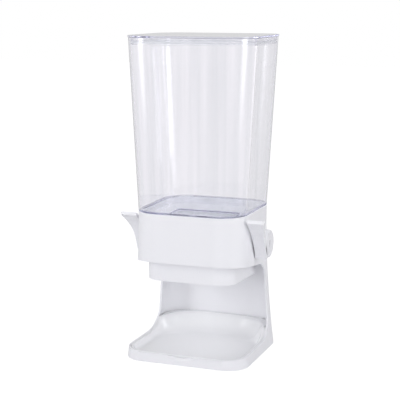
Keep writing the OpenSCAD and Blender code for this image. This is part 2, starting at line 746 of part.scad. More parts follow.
// Catch tray: a dish in the well, a flat rim on the base's ledge and a raised wall round the back
module catch_tray() color("white") intersection() {
    // The raised wall stays clear of the column while the tray is lifted
    wall_hw = side_at(tray_top + tray_travel) - wall - slip_gap;
    rim_bottom = rim_seat + seat_gap / 2;
    along_x(-big / 2, big / 2) tray_top_outline();
    difference() {
        intersection() {
            along_x(-big / 2, big / 2) tray_outline(tray_t);
            union() {
                translate([0, 0, tray_bottom]) linear_extrude(rim_bottom + 1 - tray_bottom) dish_plan(0);
                translate([0, 0, rim_bottom]) linear_extrude(tray_t) tray_plan(tray_w / 2, 0);
                translate([0, 0, rim_bottom]) linear_extrude(tray_lip_h + 4) tray_plan(wall_hw, 0);
            }
        }
        intersection() {
            along_x(-big / 2, big / 2) tray_outline(0);
            union() {
                translate([0, 0, tray_bottom]) linear_extrude(big) dish_plan(tray_t);
                translate([0, 0, rim_bottom + tray_t]) linear_extrude(big) tray_plan(wall_hw, tray_t);
            }
        }
    }
}

stand();
feet();
gate_housing();
housing_screws();
chute();
left_bush();
right_bush();
left_spring();
right_spring();
spout_seal();
axle();
gate();
agitator();
cross_pins();
spring_collars();
axle_clips();
left_lever();
right_lever();
canister();
lid();
lid_seal();
catch_tray();
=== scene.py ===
# Countertop cereal dispenser: the mouldings that show are remade here with rounded edges and real
# finishes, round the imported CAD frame. Sizes are in millimetres and mm turns them to metres.
from math import asin, cos, pi, radians, sin, sqrt, tan

import bmesh
import bpy
from mathutils import Matrix, Vector


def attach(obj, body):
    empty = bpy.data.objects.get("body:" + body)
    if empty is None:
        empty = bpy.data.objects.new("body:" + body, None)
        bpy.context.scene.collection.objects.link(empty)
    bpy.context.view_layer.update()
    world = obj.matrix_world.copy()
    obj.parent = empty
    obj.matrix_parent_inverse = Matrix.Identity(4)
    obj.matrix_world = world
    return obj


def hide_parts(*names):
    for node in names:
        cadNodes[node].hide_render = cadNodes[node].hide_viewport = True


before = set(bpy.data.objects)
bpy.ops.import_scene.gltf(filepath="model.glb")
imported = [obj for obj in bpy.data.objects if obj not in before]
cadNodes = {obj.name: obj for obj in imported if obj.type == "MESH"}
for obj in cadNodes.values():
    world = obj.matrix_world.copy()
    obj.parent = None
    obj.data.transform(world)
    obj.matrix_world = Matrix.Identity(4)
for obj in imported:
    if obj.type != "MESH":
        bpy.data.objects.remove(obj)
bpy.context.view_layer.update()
scene = bpy.context.scene
mm = 0.001
print("frame loaded:", len(cadNodes), "CAD nodes")


# Turns a screen colour such as "#ececf0" into the linear values that shaders use
def linear(hexText):
    values = [int(hexText[i:i + 2], 16) / 255 for i in (1, 3, 5)]
    return [v / 12.92 if v <= 0.04045 else ((v + 0.055) / 1.055) ** 2.4 for v in values] + [1.0]


# Adds a shader node. Its inputs go by name, or by number where several share a name, and each
# takes a plain value or another node's output
def addNode(tree, kind, inputs=None, **settings):
    made = tree.nodes.new(kind)
    for name, value in settings.items():
        setattr(made, name, value)
    for key, value in (inputs or {}).items():
        if isinstance(value, bpy.types.NodeSocket):
            tree.links.new(value, made.inputs[key])
        else:
            made.inputs[key].default_value = value
    return made


def newMaterial(name):
    material = bpy.data.materials.new(name)
    material.use_nodes = True
    material.node_tree.nodes.clear()
    return material, material.node_tree


# Blends from one colour to another between two levels of a pattern
def colourRamp(tree, factor, low, lowAt, high, highAt):
    ramp = addNode(tree, "ShaderNodeValToRGB", {"Fac": factor})
    for element, colour, position in zip(ramp.color_ramp.elements, (low, high), (lowAt, highAt)):
        element.position = position
        element.color = linear(colour)
    return ramp.outputs["Color"]


# Injection-moulded plastic: an even body colour with faint flow marks, and a skin that is a little
# uneven, so that a highlight wavers instead of ending in a hard line
def mouldedPlastic(name, settings):
    material, tree = newMaterial(name)
    place = addNode(tree, "ShaderNodeTexCoord")
    flow = addNode(tree, "ShaderNodeTexNoise", {"Vector": place.outputs["Object"],
        "Scale": 1 / (settings["flowSize"] * mm), "Detail": 2.0, "Roughness": 0.5})
    grain = addNode(tree, "ShaderNodeTexNoise", {"Vector": place.outputs["Object"],
        "Scale": 1 / (settings["grainSize"] * mm), "Detail": 3.0, "Roughness": 0.6})
    tint = addNode(tree, "ShaderNodeMix", {0: flow.outputs["Fac"], 6: linear(settings["colour"]),
        7: linear(settings["flowColour"])}, data_type="RGBA")
    gloss = addNode(tree, "ShaderNodeMapRange", {"Value": grain.outputs["Fac"], "From Min": 0.3,
        "From Max": 0.7, "To Min": settings["roughness"] - 0.03,
        "To Max": settings["roughness"] + 0.03})
    skin = addNode(tree, "ShaderNodeBump", {"Height": grain.outputs["Fac"],
        "Strength": settings["bump"], "Distance": settings["bumpHeight"] * mm})
    body = addNode(tree, "ShaderNodeBsdfPrincipled", {"Base Color": tint.outputs[2],
        "Roughness": gloss.outputs["Result"], "IOR": settings["ior"],
        "Normal": skin.outputs["Normal"]})
    addNode(tree, "ShaderNodeOutputMaterial", {"Surface": body.outputs["BSDF"]})
    return material


# Clear moulded plastic: it bends light, long paths inside it turn violet-blue, and lamps light what
# is behind it through a plain see-through shader. Its tint carries streaks of painted reflection
def clearPlastic(name, settings):
    material, tree = newMaterial(name)
    place = addNode(tree, "ShaderNodeTexCoord")
    # drag lines of the mould in the bump, forty times as long up the wall as across it, and spaced
    # wider than real ones so that they show. The darker streaks that the same pattern puts in the
    # tint are painted reflection: they stand in for the bands that the wall mirrors
    stretch = addNode(tree, "ShaderNodeMapping", {"Vector": place.outputs["Object"],
        "Scale": (1.0, 1.0, 0.025)})
    waver = addNode(tree, "ShaderNodeTexNoise", {"Vector": stretch.outputs["Vector"],
        "Scale": 1 / (settings["waverSize"] * mm), "Detail": 2.0})
    skin = addNode(tree, "ShaderNodeBump", {"Height": waver.outputs["Fac"],
        "Strength": settings["bump"], "Distance": settings["bumpHeight"] * mm})
    # painted reflection: the tint darkens along the tall streaks
    tint = colourRamp(tree, waver.outputs["Fac"], settings["reflectionStreakColour"], 0.36,
        settings["colour"], 0.64)
    body = addNode(tree, "ShaderNodeBsdfPrincipled", {"Base Color": tint,
        "Roughness": settings["roughness"], "IOR": settings["ior"], "Transmission Weight": 1.0,
        "Normal": skin.outputs["Normal"]})
    path = addNode(tree, "ShaderNodeLightPath")
    # light caught between two faces comes out at last, deep in the dye's colour, not black
    caught = addNode(tree, "ShaderNodeMath", {0: path.outputs["Glossy Depth"],
        1: settings["caughtAfter"] - 0.5}, operation="GREATER_THAN")
    escape = addNode(tree, "ShaderNodeBsdfTransparent", {"Color": linear(settings["edgeColour"])})
    solid = addNode(tree, "ShaderNodeMixShader", {0: caught.outputs[0], 1: body.outputs["BSDF"],
        2: escape.outputs["BSDF"]})
    through = addNode(tree, "ShaderNodeBsdfTransparent", {"Color": linear(settings["lampColour"])})
    lampRay = addNode(tree, "ShaderNodeMath", {0: path.outputs["Is Shadow Ray"],
        1: path.outputs["Is Diffuse Ray"]}, operation="MAXIMUM")
    either = addNode(tree, "ShaderNodeMixShader", {0: lampRay.outputs[0],
        1: solid.outputs["Shader"], 2: through.outputs["BSDF"]})
    depth = addNode(tree, "ShaderNodeVolumeAbsorption", {"Color": linear(settings["depthColour"]),
        "Density": settings["density"]})
    addNode(tree, "ShaderNodeOutputMaterial", {"Surface": either.outputs["Shader"],
        "Volume": depth.outputs["Volume"]})
    return material


# Drawn or turned steel: fine lines run along one axis and stretch the highlight across them
def brushedSteel(name, settings):
    material, tree = newMaterial(name)
    place = addNode(tree, "ShaderNodeTexCoord")
    stretch = addNode(tree, "ShaderNodeMapping", {"Vector": place.outputs["Object"],
        "Scale": settings["lineScale"]})
    lines = addNode(tree, "ShaderNodeTexNoise", {"Vector": stretch.outputs["Vector"],
        "Scale": 1 / (settings["lineSize"] * mm), "Detail": 2.0})
    tint = colourRamp(tree, lines.outputs["Fac"], settings["colour"], 0.3,
        settings["lineColour"], 0.7)
    gloss = addNode(tree, "ShaderNodeMapRange", {"Value": lines.outputs["Fac"],
        "To Min": settings["roughness"] - 0.06, "To Max": settings["roughness"] + 0.06})
    skin = addNode(tree, "ShaderNodeBump", {"Height": lines.outputs["Fac"], "Strength": 0.15,
        "Distance": 0.02 * mm})
    body = addNode(tree, "ShaderNodeBsdfPrincipled", {"Base Color": tint, "Metallic": 1.0,
        "Roughness": gloss.outputs["Result"], "Normal": skin.outputs["Normal"]})
    addNode(tree, "ShaderNodeOutputMaterial", {"Surface": body.outputs["BSDF"]})
    return material


# ABS, moulded glossy and white with a cool cast: the stand, the chute and the levers
whiteAbs = mouldedPlastic("mouldedWhiteAbs", {"colour": "#f6f6f9", "flowColour": "#f3f3f7",
    "flowSize": 60, "grainSize": 1.6, "roughness": 0.3, "bump": 0.12, "bumpHeight": 0.05,
    "ior": 1.53})
# The levers' ABS comes from a smaller, better polished mould, so its flow marks lie closer
leverAbs = mouldedPlastic("mouldedLeverAbs", {"colour": "#f5f5f8", "flowColour": "#f2f2f6",
    "flowSize": 30, "grainSize": 1.2, "roughness": 0.26, "bump": 0.1, "bumpHeight": 0.04,
    "ior": 1.53})
# Polypropylene, a shade greyer than the ABS and glossier, so that the tray wipes clean
trayPolypropylene = mouldedPlastic("mouldedTrayPolypropylene", {"colour": "#f6f6f8",
    "flowColour": "#f3f4f6", "flowSize": 45, "grainSize": 2.0, "roughness": 0.2, "bump": 0.1,
    "bumpHeight": 0.05, "ior": 1.49})
# The same resin left matt by a spark-eroded mould, where nobody sees it
mattPolypropylene = mouldedPlastic("mattInnerPolypropylene", {"colour": "#f0f0f4",
    "flowColour": "#ebebf0", "flowSize": 25, "grainSize": 0.8, "roughness": 0.5, "bump": 0.3,
    "bumpHeight": 0.05, "ior": 1.49})
# Acetal, waxy and a little yellow
waxyAcetal = mouldedPlastic("waxyAcetal", {"colour": "#e9e6d8", "flowColour": "#e3e0d0",
    "flowSize": 8, "grainSize": 0.6, "roughness": 0.42, "bump": 0.15, "bumpHeight": 0.03,
    "ior": 1.48})
# Silicone rubber, soft and dull, so that edges look blurred
milkySilicone = mouldedPlastic("milkySilicone", {"colour": "#eeeef2", "flowColour": "#e8e8ed",
    "flowSize": 12, "grainSize": 0.7, "roughness": 0.62, "bump": 0.25, "bumpHeight": 0.05,
    "ior": 1.41})
# Nitrile rubber, dark and matt, and a little grainy where it grips the table
footRubber = mouldedPlastic("nitrileFootRubber", {"colour": "#8b8b90", "flowColour": "#7f7f85",
    "flowSize": 6, "grainSize": 0.5, "roughness": 0.75, "bump": 0.5, "bumpHeight": 0.08,
    "ior": 1.5})
# Styrene-acrylonitrile, the clear resin of kitchen canisters, with a blueing dye against yellowing
sanLook = {"colour": "#fbfafd", "reflectionStreakColour": "#f2f2f5", "lampColour": "#feffff",
    "roughness": 0.04, "ior": 1.56, "waverSize": 14, "bump": 0.03, "bumpHeight": 0.12,
    "depthColour": "#8a88c0", "density": 3, "caughtAfter": 3, "edgeColour": "#e8e8f4"}
clearSan = clearPlastic("clearBluedSan", sanLook)
# The lid is a flat sheet of the same plastic, with hardly any drag lines or painted reflection
# streaks
lidSan = clearPlastic("clearLidSan",
    dict(sanLook, colour="#fefefe", reflectionStreakColour="#fcfcfd", density=2))
# Steel bar ground bright: pins and screws, with lines round them that stretch the highlight
groundSteel = brushedSteel("groundSteelBar", {"colour": "#b4b6ba", "lineColour": "#d2d4d7",
    "lineSize": 0.5, "lineScale": (12.0, 1.0, 1.0), "roughness": 0.28})
# The axle's near-black colour is painted shade, so that its tongue shows as the shadow in each
# lever's slot
slotShadeSteel = brushedSteel("axleSlotShadeSteel", {"colour": "#2b2c2f", "lineColour": "#3b3c40",
    "lineSize": 0.5, "lineScale": (1.0, 12.0, 12.0), "roughness": 0.42})
# Spring wire and clips keep the duller skin of cold drawing
springSteel = brushedSteel("drawnSpringSteel", {"colour": "#9fa2a8", "lineColour": "#c6c8cc",
    "lineSize": 0.3, "lineScale": (1.0, 1.0, 1.0), "roughness": 0.3})
print("materials made")

# One plan shape per height: half width, front and back of the middle, and corner radius
stand = {"rimZ": 184.7, "collarHalf": 70.2, "collarFront": 66.3, "collarBack": 73.3,
    "collarRadius": 33, "collarHeight": 59.5, "lean": 2, "bottomSlope": 7.5, "wall": 2.4,
    "baseHalf": 79.5, "baseFront": 78, "baseBack": 74.5, "baseHeight": 13.8, "baseRadius": 27,
    "baseBottom": 0.8, "flareHeight": 160, "flarePower": 1.7, "columnFront": 38,
    "upperFillet": 20, "lowerDepth": 36, "lowerHeight": 26, "floorTop": 4.6, "footRecess": 2.8,
    "ledge": 4.2, "rimSeat": 12.3, "wellStep": 2.4, "wellRadius": 23, "deckBottom": 126.5,
    "deckTop": 129.0, "deckHoleX": 45.9, "deckHoleFront": 30.4, "deckHoleBack": 41.4,
    "scoopWidth": 38, "scoopHeight": 5.4, "scoopSlope": 52, "edge": 0.9}
axle = {"y": 5.5, "z": 143.5, "bushRadius": 7.0, "padRadius": 10.5, "padX": 70.7, "padThick": 5.4}
cornerSteps = 20


def flareAt(z):
    s = stand
    return 0.0 if z >= s["flareHeight"] else (1 - z / s["flareHeight"]) ** s["flarePower"]


def standPlan(z, inset=0.0):
    s = stand
    f = flareAt(z)
    front = s["collarFront"] + s["lean"] * (s["rimZ"] - z) / s["collarHeight"]
    return [s["collarHalf"] + (s["baseHalf"] - s["collarHalf"]) * f - inset, front - inset,
        s["collarBack"] + (s["baseBack"] - s["collarBack"]) * f - inset,
        s["collarRadius"] + (s["baseRadius"] - s["collarRadius"]) * f - inset]


# A face with rounded corners, flat at height z
def roundedFace(bm, z, half, front, back, radius, backRadius=None, steps=cornerSteps):
    old = set(bm.faces)
    corners = [bm.verts.new((x * mm, y * mm, z * mm))
        for x, y in ((-half, -front), (half, -front), (half, back), (-half, back))]
    bm.faces.new(corners)
    for pair, size in ((corners[:2], radius), (corners[2:], backRadius or radius)):
        bmesh.ops.bevel(bm, geom=pair, offset=size * mm, offset_type="OFFSET", segments=steps,
            profile=0.5, affect="VERTICES", material=-1)
    return next(face for face in bm.faces if face not in old)


# Skins a solid through plans (z, half, front, back, radius), from its bottom face to its top one.
# A looped one has no end faces: it joins its last ring to its first
def loft(plans, looped=False, steps=cornerSteps):
    bm = bmesh.new()
    rings = []
    for i, plan in enumerate(plans):
        face = roundedFace(bm, *plan, steps=steps)
        rings.append(list(face.verts))
        if looped or 0 < i < len(plans) - 1:
            bmesh.ops.delete(bm, geom=[face], context="FACES_ONLY")
    for low, high in zip(rings, rings[1:] + rings[:1] if looped else rings[1:]):
        joinRings(bm, low, high)
    bmesh.ops.recalc_face_normals(bm, faces=bm.faces)
    return bm


def joinRings(bm, low, high):
    for i in range(len(low)):
        bm.faces.new((low[i - 1], low[i], high[i], high[i - 1]))


# Pushes flat faces out into a solid
def pushOut(bm, along):
    pushed = bmesh.ops.extrude_face_region(bm, geom=list(bm.faces))
    moved = [v for v in pushed["geom"] if isinstance(v, bmesh.types.BMVert)]
    bmesh.ops.translate(bm, verts=moved, vec=[c * mm for c in along])
    bmesh.ops.recalc_face_normals(bm, faces=bm.faces)


# A box between two corners
def block(low, high):
    bm = bmesh.new()
    size = [(b - a) * mm for a, b in zip(low, high)]
    middle = [(a + b) / 2 * mm for a, b in zip(low, high)]
    bmesh.ops.create_cube(bm, size=1, matrix=Matrix.LocRotScale(middle, None, size))
    return bm


# A round bar along "X", "Y" or "Z", from start to end through the point across
def bar(direction, radius, start, end, across, endRadius=None, steps=96):
    bm = bmesh.new()
    turn = {"X": Matrix.Rotation(pi / 2, 4, "Y"), "Y": Matrix.Rotation(-pi / 2, 4, "X"),
        "Z": Matrix.Identity(4)}[direction]
    middle = (start + end) / 2
    point = {"X": (middle, *across), "Y": (across[0], middle, across[1]),
        "Z": (*across, middle)}[direction]
    bmesh.ops.create_cone(bm, cap_ends=True, segments=steps, radius1=radius * mm,
        radius2=(endRadius or radius) * mm, depth=abs(end - start) * mm,
        matrix=Matrix.Translation([c * mm for c in point]) @ turn)
    return bm


def toObject(name, bm):
    mesh = bpy.data.meshes.new(name)
    bm.to_mesh(mesh)
    bm.free()
    made = bpy.data.objects.new(name, mesh)
    scene.collection.objects.link(made)
    return made


# Joins or cuts one shape after another, and keeps the result as the piece's own mesh
def shapeBy(piece, steps):
    tools = []
    for operation, bm in steps:
        tool = toObject("tool", bm)
        tools.append(tool)
        modifier = piece.modifiers.new("shape", "BOOLEAN")
        modifier.operation = operation
        modifier.solver = "EXACT"
        modifier.object = tool
    keepModifiers(piece)
    for tool in tools:
        bpy.data.objects.remove(tool)


def keepModifiers(piece):
    bpy.context.view_layer.update()
    shaped = piece.evaluated_get(bpy.context.evaluated_depsgraph_get())
    mesh = bpy.data.meshes.new_from_object(shaped)
    piece.modifiers.clear()
    piece.data = mesh


# Rounds the sharp edges, smooths the rest, and gives the piece its finish and its place
def finishPiece(piece, material, body, replaced, edge=0.0, edgeSteps=3, sharpAngle=32):
    mesh = piece.data
    bm = bmesh.new()
    bm.from_mesh(mesh)
    bmesh.ops.remove_doubles(bm, verts=bm.verts, dist=0.002 * mm)
    bmesh.ops.dissolve_degenerate(bm, dist=0.002 * mm, edges=bm.edges)
    bm.to_mesh(mesh)
    bm.free()
    if edge:
        bevel = piece.modifiers.new("edges", "BEVEL")
        bevel.width = edge * mm
        bevel.segments = edgeSteps
        bevel.limit_method = "ANGLE"
        bevel.angle_limit = radians(sharpAngle)
        bevel.miter_outer = "MITER_ARC"
        keepModifiers(piece)
        mesh = piece.data
    mesh.shade_smooth()
    mesh.set_sharp_from_angle(angle=radians(sharpAngle))
    # flat walls stay flat to the eye right up to their rounded edges
    even = piece.modifiers.new("evenShading", "WEIGHTED_NORMAL")
    even.keep_sharp = True
    keepModifiers(piece)
    mesh = piece.data
    mesh.materials.clear()
    mesh.materials.append(material)
    if replaced:
        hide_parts(*replaced)
    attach(piece, body)
    print(piece.name, len(mesh.polygons), "faces")
    return piece


# The stand: collar, flared column and base, moulded in one piece
def bowlSpace():
    s = stand
    slope = tan(radians(s["bottomSlope"]))
    frontEdge = -(s["collarFront"] + s["lean"])
    edgeZ = s["rimZ"] - s["collarHeight"]
    cornerZ = edgeZ - slope * (s["columnFront"] - frontEdge)
    # the lower curve is deeper than it is high, so it is rounded first and stretched after
    ratio = s["lowerDepth"] / s["lowerHeight"]
    far, wide = 200, 100  # well past the stand on every side
    bm = bmesh.new()
    points = [(-far, s["baseHeight"]), (s["columnFront"], s["baseHeight"]),
        (s["columnFront"], cornerZ), (-far, edgeZ + slope * (far + frontEdge))]
    corners = [bm.verts.new((-wide * mm, y * mm / ratio, z * mm)) for y, z in points]
    bm.faces.new(corners)
    bmesh.ops.bevel(bm, geom=[corners[1]], offset=s["lowerHeight"] * mm, segments=24, profile=0.5,
        affect="VERTICES", material=-1)
    bmesh.ops.scale(bm, vec=(1, ratio, 1), verts=bm.verts)
    top = max((v for v in bm.verts if v.co.y > (s["columnFront"] - 0.01) * mm),
        key=lambda v: v.co.z)
    bmesh.ops.bevel(bm, geom=[top], offset=s["upperFillet"] * mm, segments=20, profile=0.5,
        affect="VERTICES", material=-1)
    pushOut(bm, (2 * wide, 0, 0))
    return bm


def makeStand():
    s = stand
    centre = axle["y"], axle["z"]
    levels = [s["baseHeight"] - 0.2, 18, 23, 29, 36, 44, 54, 66, 80, 96, 112, 128, 144,
        s["flareHeight"], 172, s["rimZ"]]
    body = toObject("standShell", loft([(z, *standPlan(z)) for z in levels]))
    inner = [s["baseHeight"] - 0.1] + levels[1:-1] + [s["rimZ"] + 1]
    shapeBy(body, [
        ("DIFFERENCE", loft([(z, *standPlan(z, s["wall"])) for z in inner])),
        ("DIFFERENCE", bowlSpace())])
    base = s["baseHalf"], s["baseFront"], s["baseBack"], s["baseRadius"]
    lowSide = standPlan(s["baseHeight"])
    # the tray's well has a step round it that the tray's rim lies on
    wellTop = s["baseHeight"] + 0.05
    rim = (s["baseHalf"] - s["ledge"], s["baseFront"] + 0.5, s["baseBack"] - s["wall"] - 1,
        s["baseRadius"])
    well = rim[0] - s["wellStep"], s["baseFront"] - s["wall"], rim[2], s["wellRadius"]
    recess = [size - s["wall"] for size in base]
    # the finger scoop slopes up to the tray's rim, so that it shows as a soft hollow
    slope = radians(s["scoopSlope"])
    scoopRadius = (((s["scoopWidth"] / 2) ** 2 + s["scoopHeight"] ** 2) / (2 * s["scoopHeight"])
        / cos(slope))
    low = s["rimSeat"] - s["scoopHeight"]
    scoop = bar("Y", scoopRadius, -s["baseFront"] - 40, 40 - s["baseFront"], (0, low + scoopRadius),
        steps=480)
    bmesh.ops.rotate(scoop, verts=scoop.verts, cent=(0, -s["baseFront"] * mm, low * mm),
        matrix=Matrix.Rotation(slope, 3, "X"))
    deckPlan = standPlan(s["deckBottom"], 0.2)
    padInner = axle["padX"] - axle["padThick"]
    shapeBy(body, [
        ("UNION", loft([(s["baseBottom"], *base),
            (s["baseHeight"], lowSide[0], s["baseFront"], lowSide[2], s["baseRadius"])])),
        ("UNION", loft([(s["deckBottom"], *deckPlan), (s["deckTop"], *deckPlan)])),
        ("UNION", bar("X", axle["padRadius"], -axle["padX"], -padInner, centre)),
        ("UNION", bar("X", axle["padRadius"], padInner, axle["padX"], centre)),
        ("DIFFERENCE", loft([(s["baseBottom"] - 1, *recess), (s["footRecess"], *recess)])),
        ("DIFFERENCE", loft([(s["floorTop"], *well), (wellTop, *well)])),
        ("DIFFERENCE", loft([(s["rimSeat"], *rim), (wellTop, *rim)])),
        ("DIFFERENCE", scoop),
        ("DIFFERENCE", bar("X", axle["bushRadius"], -100, 100, centre)),
        ("DIFFERENCE", block((-s["deckHoleX"], -s["deckHoleFront"], s["deckBottom"] - 1),
            (s["deckHoleX"], s["deckHoleBack"], s["deckTop"] + 1)))])
    return finishPiece(body, whiteAbs, "stand", ["stand"], edge=s["edge"])


makeStand()

# The canister: spout, sloped floor, neck in the collar, shoulder on its rim and a tapered wall
canister = {"topZ": 397.5, "topHalf": 82.3, "topFront": 66.3, "topBack": 77.3, "topRadius": 33.3,
    "wall": 2.2, "shoulderZ": 184.9, "neckBottom": 174.7, "neckWall": 2, "neckGap": 2.8,
    "spoutHalf": 44.4, "spoutDepth": 24.6, "spoutWall": 1.8, "spoutBottom": 168.7,
    "spoutTop": 173.6, "edge": 0.5}


def canisterPlan(z, inset=0.0):
    c, s = canister, stand
    t = (z - s["rimZ"]) / (c["topZ"] - s["rimZ"])
    low = s["collarHalf"], s["collarFront"], s["collarBack"], s["collarRadius"]
    high = c["topHalf"], c["topFront"], c["topBack"], c["topRadius"]
    return [a + (b - a) * t - inset for a, b in zip(low, high)]


def spoutPlan(inset=0.0):
    c = canister
    return [c["spoutHalf"] - inset, c["spoutDepth"] - inset - axle["y"],
        c["spoutDepth"] - inset + axle["y"], 3]


def makeCanister():
    c, s = canister, stand
    neck = c["neckGap"] + c["neckWall"]
    rings = [
        (c["spoutBottom"], *spoutPlan()),
        (c["spoutTop"], *spoutPlan()),
        (s["rimZ"] - 0.6, *standPlan(s["rimZ"], neck)),
        (c["neckBottom"], *standPlan(c["neckBottom"], neck)),
        (c["neckBottom"], *standPlan(c["neckBottom"], c["neckGap"])),
        (c["shoulderZ"], *standPlan(s["rimZ"], c["neckGap"])),
        (c["shoulderZ"], *canisterPlan(c["shoulderZ"])),
        (c["topZ"], *canisterPlan(c["topZ"])),
        (c["topZ"], *canisterPlan(c["topZ"], c["wall"])),
        (c["shoulderZ"] + 2, *canisterPlan(c["shoulderZ"] + 2, c["wall"])),
        (c["spoutTop"] + c["spoutWall"], *spoutPlan(c["spoutWall"])),
        (c["spoutBottom"], *spoutPlan(c["spoutWall"]))]
    piece = toObject("canisterShell", loft(rings, looped=True))
    return finishPiece(piece, clearSan, "canister", ["canister"], edge=c["edge"],
        sharpAngle=25)


makeCanister()

# The lid: a flat plate that laps over the canister, and a plug that drops into it
lid = {"top": 400.0, "bottom": 397.65, "over": 0.7, "edge": 0.6, "plugBottom": 389.0, "gap": 0.4,
    "plugWall": 2.2, "grooveLow": 391.0, "grooveHigh": 393.1, "grooveDepth": 1.0}


def makeLid():
    d = lid
    outside = canister["wall"] + d["gap"]
    inside = outside + d["plugWall"]
    plans = [
        (d["bottom"] + 0.01, inside), (d["plugBottom"], inside), (d["plugBottom"], outside),
        (d["grooveLow"], outside), (d["grooveLow"], outside + d["grooveDepth"]),
        (d["grooveHigh"], outside + d["grooveDepth"]), (d["grooveHigh"], outside),
        (d["bottom"], outside), (d["bottom"], -d["over"]), (d["top"], -d["over"])]
    # the plate follows the canister's mouth, and the plug the wall where it ends
    piece = toObject("lidPlate", loft([(z, *canisterPlan(
        canister["topZ"] if inset < 0 else d["plugBottom"], inset)) for z, inset in plans]))
    return finishPiece(piece, lidSan, "lid", ["lid"], edge=d["edge"], sharpAngle=40)


makeLid()

# The chute: an open-bottomed hood under the collar, cut on a slope
chute = {"half": 56.8, "front": 58.2, "back": 46.5, "frontRadius": 23, "backRadius": 8, "wall": 2.2,
    "top": 126.5, "bottom": 100.3, "slope": 3.1, "edge": 1.0, "tabHigh": 3.2, "tabNear": 46.3,
    "tabFar": 55.7, "tabHalf": 4.5, "screwX": 50.05, "screwY": 25.5, "screwRadius": 2.0}


def makeChute():
    c = chute
    bm = bmesh.new()
    start = 80  # below the sloping cut
    roundedFace(bm, start, c["half"], c["front"], c["back"], c["frontRadius"], c["backRadius"])
    pushOut(bm, (0, 0, c["top"] - start))
    slope = radians(c["slope"])
    bmesh.ops.bisect_plane(bm, geom=bm.verts[:] + bm.edges[:] + bm.faces[:],
        plane_co=(0, -c["front"] * mm, c["bottom"] * mm), plane_no=(0, -sin(slope), -cos(slope)),
        clear_outer=True)
    bmesh.ops.holes_fill(bm, edges=[e for e in bm.edges if e.is_boundary])
    bmesh.ops.recalc_face_normals(bm, faces=bm.faces)
    hollow = bmesh.new()
    roundedFace(hollow, start - 10, *[c[size] - c["wall"]
        for size in ("half", "front", "back", "frontRadius", "backRadius")])
    pushOut(hollow, (0, 0, start))
    piece = toObject("chuteHood", bm)
    # four tabs take the screws that hold the hood up to the deck
    tabs, screws = [], []
    for side in (-1, 1):
        near, far = sorted((side * c["tabNear"], side * c["tabFar"]))
        for y in (axle["y"] - c["screwY"], axle["y"] + c["screwY"]):
            tabs.append(("UNION", block((near, y - c["tabHalf"], c["top"] - c["tabHigh"]),
                (far, y + c["tabHalf"], c["top"]))))
            screws.append(("DIFFERENCE", bar("Z", c["screwRadius"], c["top"] - 6.5, c["top"] + 3.5,
                (side * c["screwX"], y), steps=48)))
    shapeBy(piece, [("DIFFERENCE", hollow)] + tabs + screws)
    return finishPiece(piece, whiteAbs, "stand", ["chute"], edge=c["edge"])


makeChute()

# The catch tray: a shallow dish whose rolled rim climbs to a lip at the back
tray = {"half": 74.2, "front": 77.9, "back": 71.6, "radius": 26, "cornerRadius": 27,
    "crestRadius": 43, "rimZ": 13.9, "floorZ": 6.4, "thick": 1.6, "lipZ": 29.2, "lipDrop": 2.0,
    "flange": 0.95, "flangeFrom": -66, "flangeTo": 38, "raisedHalf": 72.9, "raisedFrom": 32,
    "rollDrop": 0.9, "backRoll": 0.2, "rollWide": 1.8, "crest": 0.16, "ease": 5,
    "slopeWide": 3.5, "slopeGrow": 1.4, "sideCuts": 23, "edge": 0.4}


# Height of the stand's lower curve at y, which the tray's rim follows up the column
def lowerCurve(y):
    s = stand
    t = (y - s["columnFront"] + s["lowerDepth"]) / s["lowerDepth"]
    return s["baseHeight"] + s["lowerHeight"] * (1 - sqrt(max(0.0, 1 - max(0.0, t) ** 2)))


# Share of the drop from rim to floor: it rolls over a crest, then eases out to the floor
def dishSlope(across):
    crest, ease = tray["crest"], tray["ease"]
    steepest = 1 / (crest / 2 + (1 - crest) / ease)
    if across < crest:
        return steepest * max(0.0, across) ** 2 / (2 * crest)
    left = (1 - min(across, 1.0)) / (1 - crest)
    return 1 - steepest * (1 - crest) / ease * left ** ease


